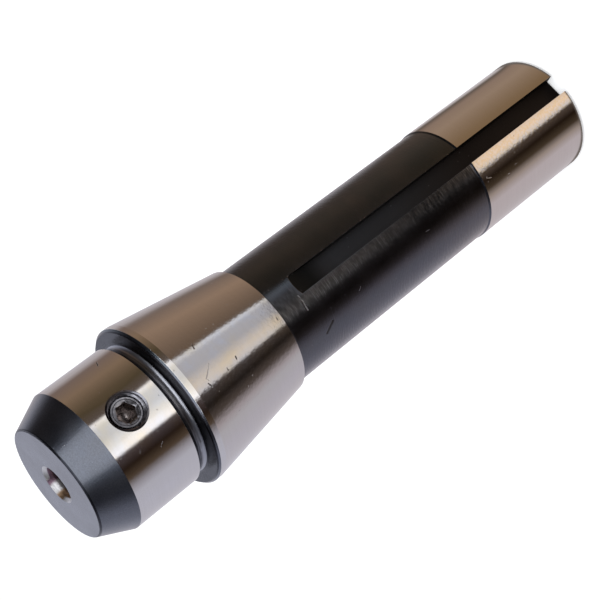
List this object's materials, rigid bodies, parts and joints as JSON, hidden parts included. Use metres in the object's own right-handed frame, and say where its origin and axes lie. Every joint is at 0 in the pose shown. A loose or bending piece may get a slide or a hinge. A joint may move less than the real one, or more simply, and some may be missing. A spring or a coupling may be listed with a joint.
{
  "type": "endmill holder",
  "caption": "Taper-shank side-lock holder for end mills: cutter bore in a coned nose with a socket set screw, ground seat taper, keyed shank and drawbar thread.",
  "frame": {"origin": "centre of the tail end's face, on the holder's axis, where it stands", "axes": "+Z along the axis from the tail end to the nose; the keyway and the set screw are on the -Y side"},
  "size_m": [0.0318, 0.0318, 0.1234],
  "materials": {
    "holder_steel": "alloy steel, black oxide all over and ground bright on the tail bearing, the seat taper and the nose",
    "screw_steel": "black oxide on hardened alloy steel, lightly oiled"
  },
  "bodies": {
    "holder": {"holder_body": "holder_steel"},
    "screw": {"set_screw": "screw_steel"}
  },
  "joints": [
    {"name": "set_screw_feed", "type": "slide", "parent": "holder", "child": "screw", "axis": [0, -1, 0], "range_m": [-0.00363, 0.00726]}
  ]
}
